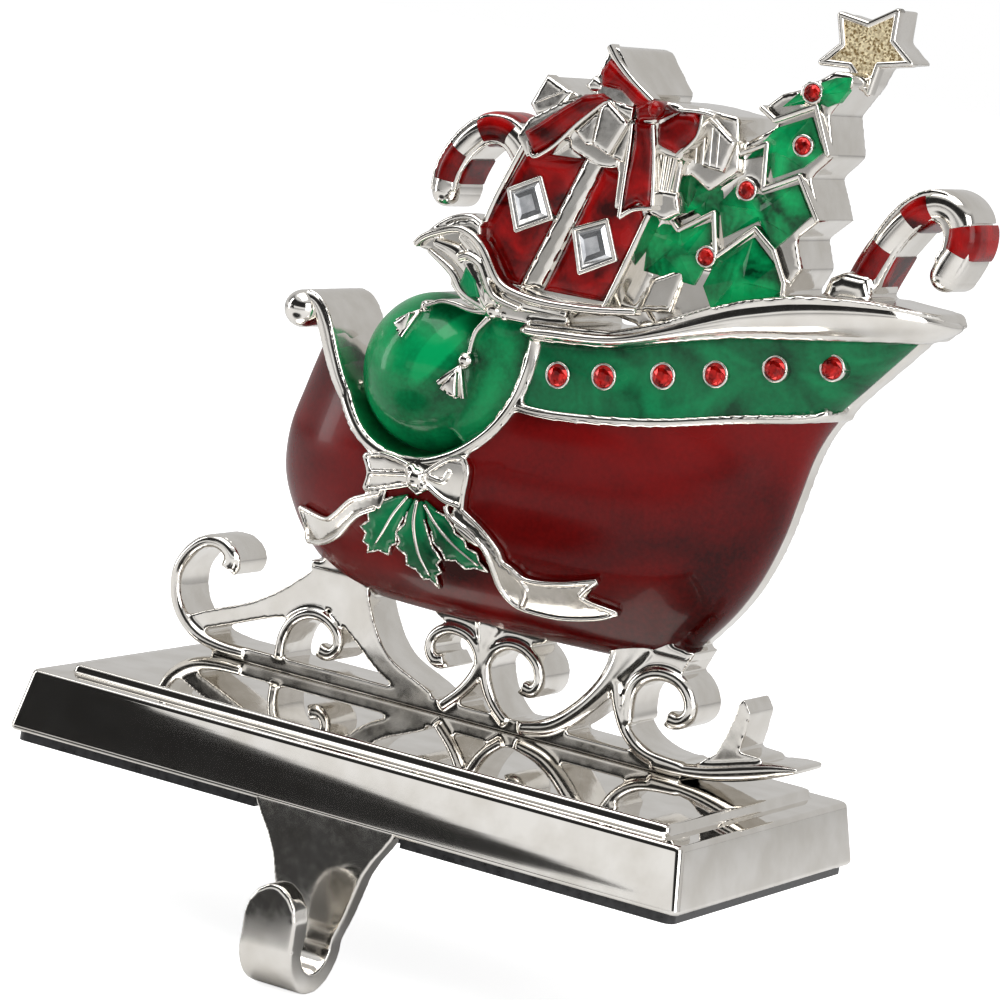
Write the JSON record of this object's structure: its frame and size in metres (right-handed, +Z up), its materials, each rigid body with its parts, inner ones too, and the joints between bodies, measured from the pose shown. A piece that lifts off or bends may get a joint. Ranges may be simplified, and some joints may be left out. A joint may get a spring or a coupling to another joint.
{
  "type": "mantel stocking holder",
  "caption": "Plated metal mantel stocking holder: a heavy slab base with a front J-hook and an enamelled sleigh figure standing on it.",
  "frame": {"origin": "middle of the pad's underside, where the holder sits on a mantel shelf", "axes": "+X along the base to the sleigh's tail, +Y from the hook's side towards the wall, +Z up"},
  "size_m": [0.1318, 0.0749, 0.1604],
  "materials": {
    "nickel_plate": "polished nickel plate on cast zinc",
    "black_pad": "smooth black pad",
    "screw_steel": "plain zinc-plated steel",
    "red_enamel": "glossy translucent deep red enamel",
    "green_enamel": "glossy translucent green enamel",
    "gold_glitter": "gold glitter in clear resin",
    "red_stone": "faceted red stone",
    "clear_stone": "faceted clear stone"
  },
  "bodies": {
    "root": {"base_casting": "nickel_plate", "sleigh_casting": "nickel_plate", "base_pad": "black_pad", "fixing_screws": "screw_steel", "hull_enamel": "red_enamel", "band_enamel": "green_enamel", "sack_enamel": "green_enamel", "gift_enamel": "red_enamel", "bow_enamel": "red_enamel", "tree_enamel": "green_enamel", "leaf_enamel": "green_enamel", "cane_enamel": "red_enamel", "star_glitter": "gold_glitter", "band_stones": "red_stone", "tree_stones": "red_stone", "gift_stones": "clear_stone"}
  },
  "joints": []
}
